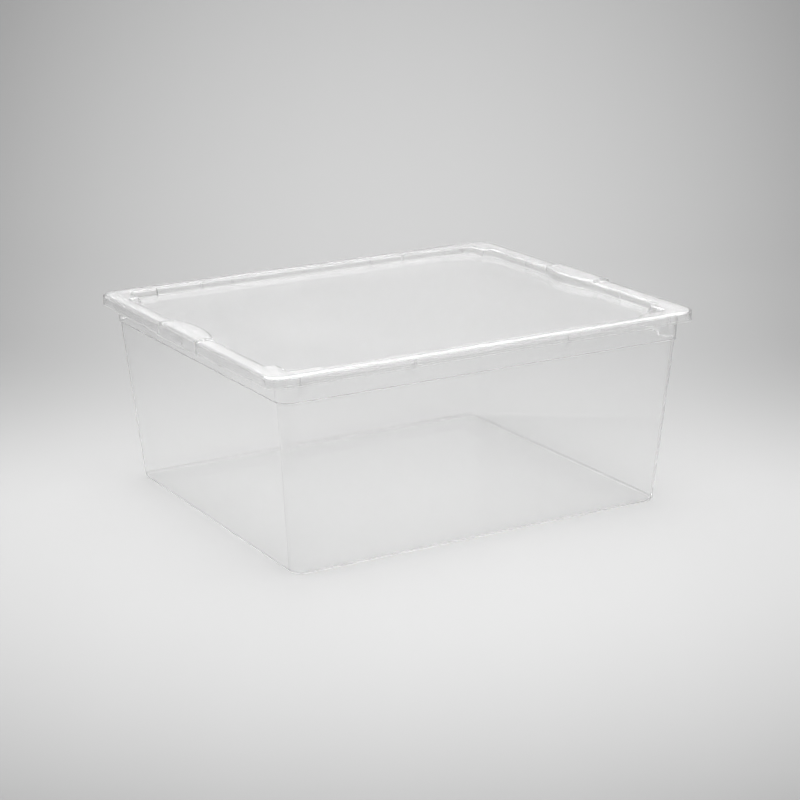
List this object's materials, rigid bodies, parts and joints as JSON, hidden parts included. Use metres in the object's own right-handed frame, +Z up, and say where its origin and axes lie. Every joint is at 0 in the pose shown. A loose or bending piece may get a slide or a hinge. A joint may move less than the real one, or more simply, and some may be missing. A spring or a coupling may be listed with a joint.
{
  "type": "stackable storage box",
  "caption": "Clear rectangular storage box with tapered walls and rounded corners, and a lift-off snap lid with raised end grips and corner blocks that locate a box stacked on top.",
  "frame": {"origin": "centre of the box's underside, on the surface it stands on", "axes": "+X along the long sides, towards one grip; +Y across the box; +Z up"},
  "size_m": [0.4026, 0.34, 0.17],
  "materials": {
    "clear_body": "glossy, see-through, slightly milky",
    "clear_lid": "glossy rim, hazy see-through panel"
  },
  "bodies": {
    "box": {"box_body": "clear_body"},
    "lid": {"lid": "clear_lid"}
  },
  "joints": [
    {"name": "lid_lift", "type": "slide", "parent": "box", "child": "lid", "axis": [0, 0, 1], "range_m": [0, 0.18]}
  ]
}
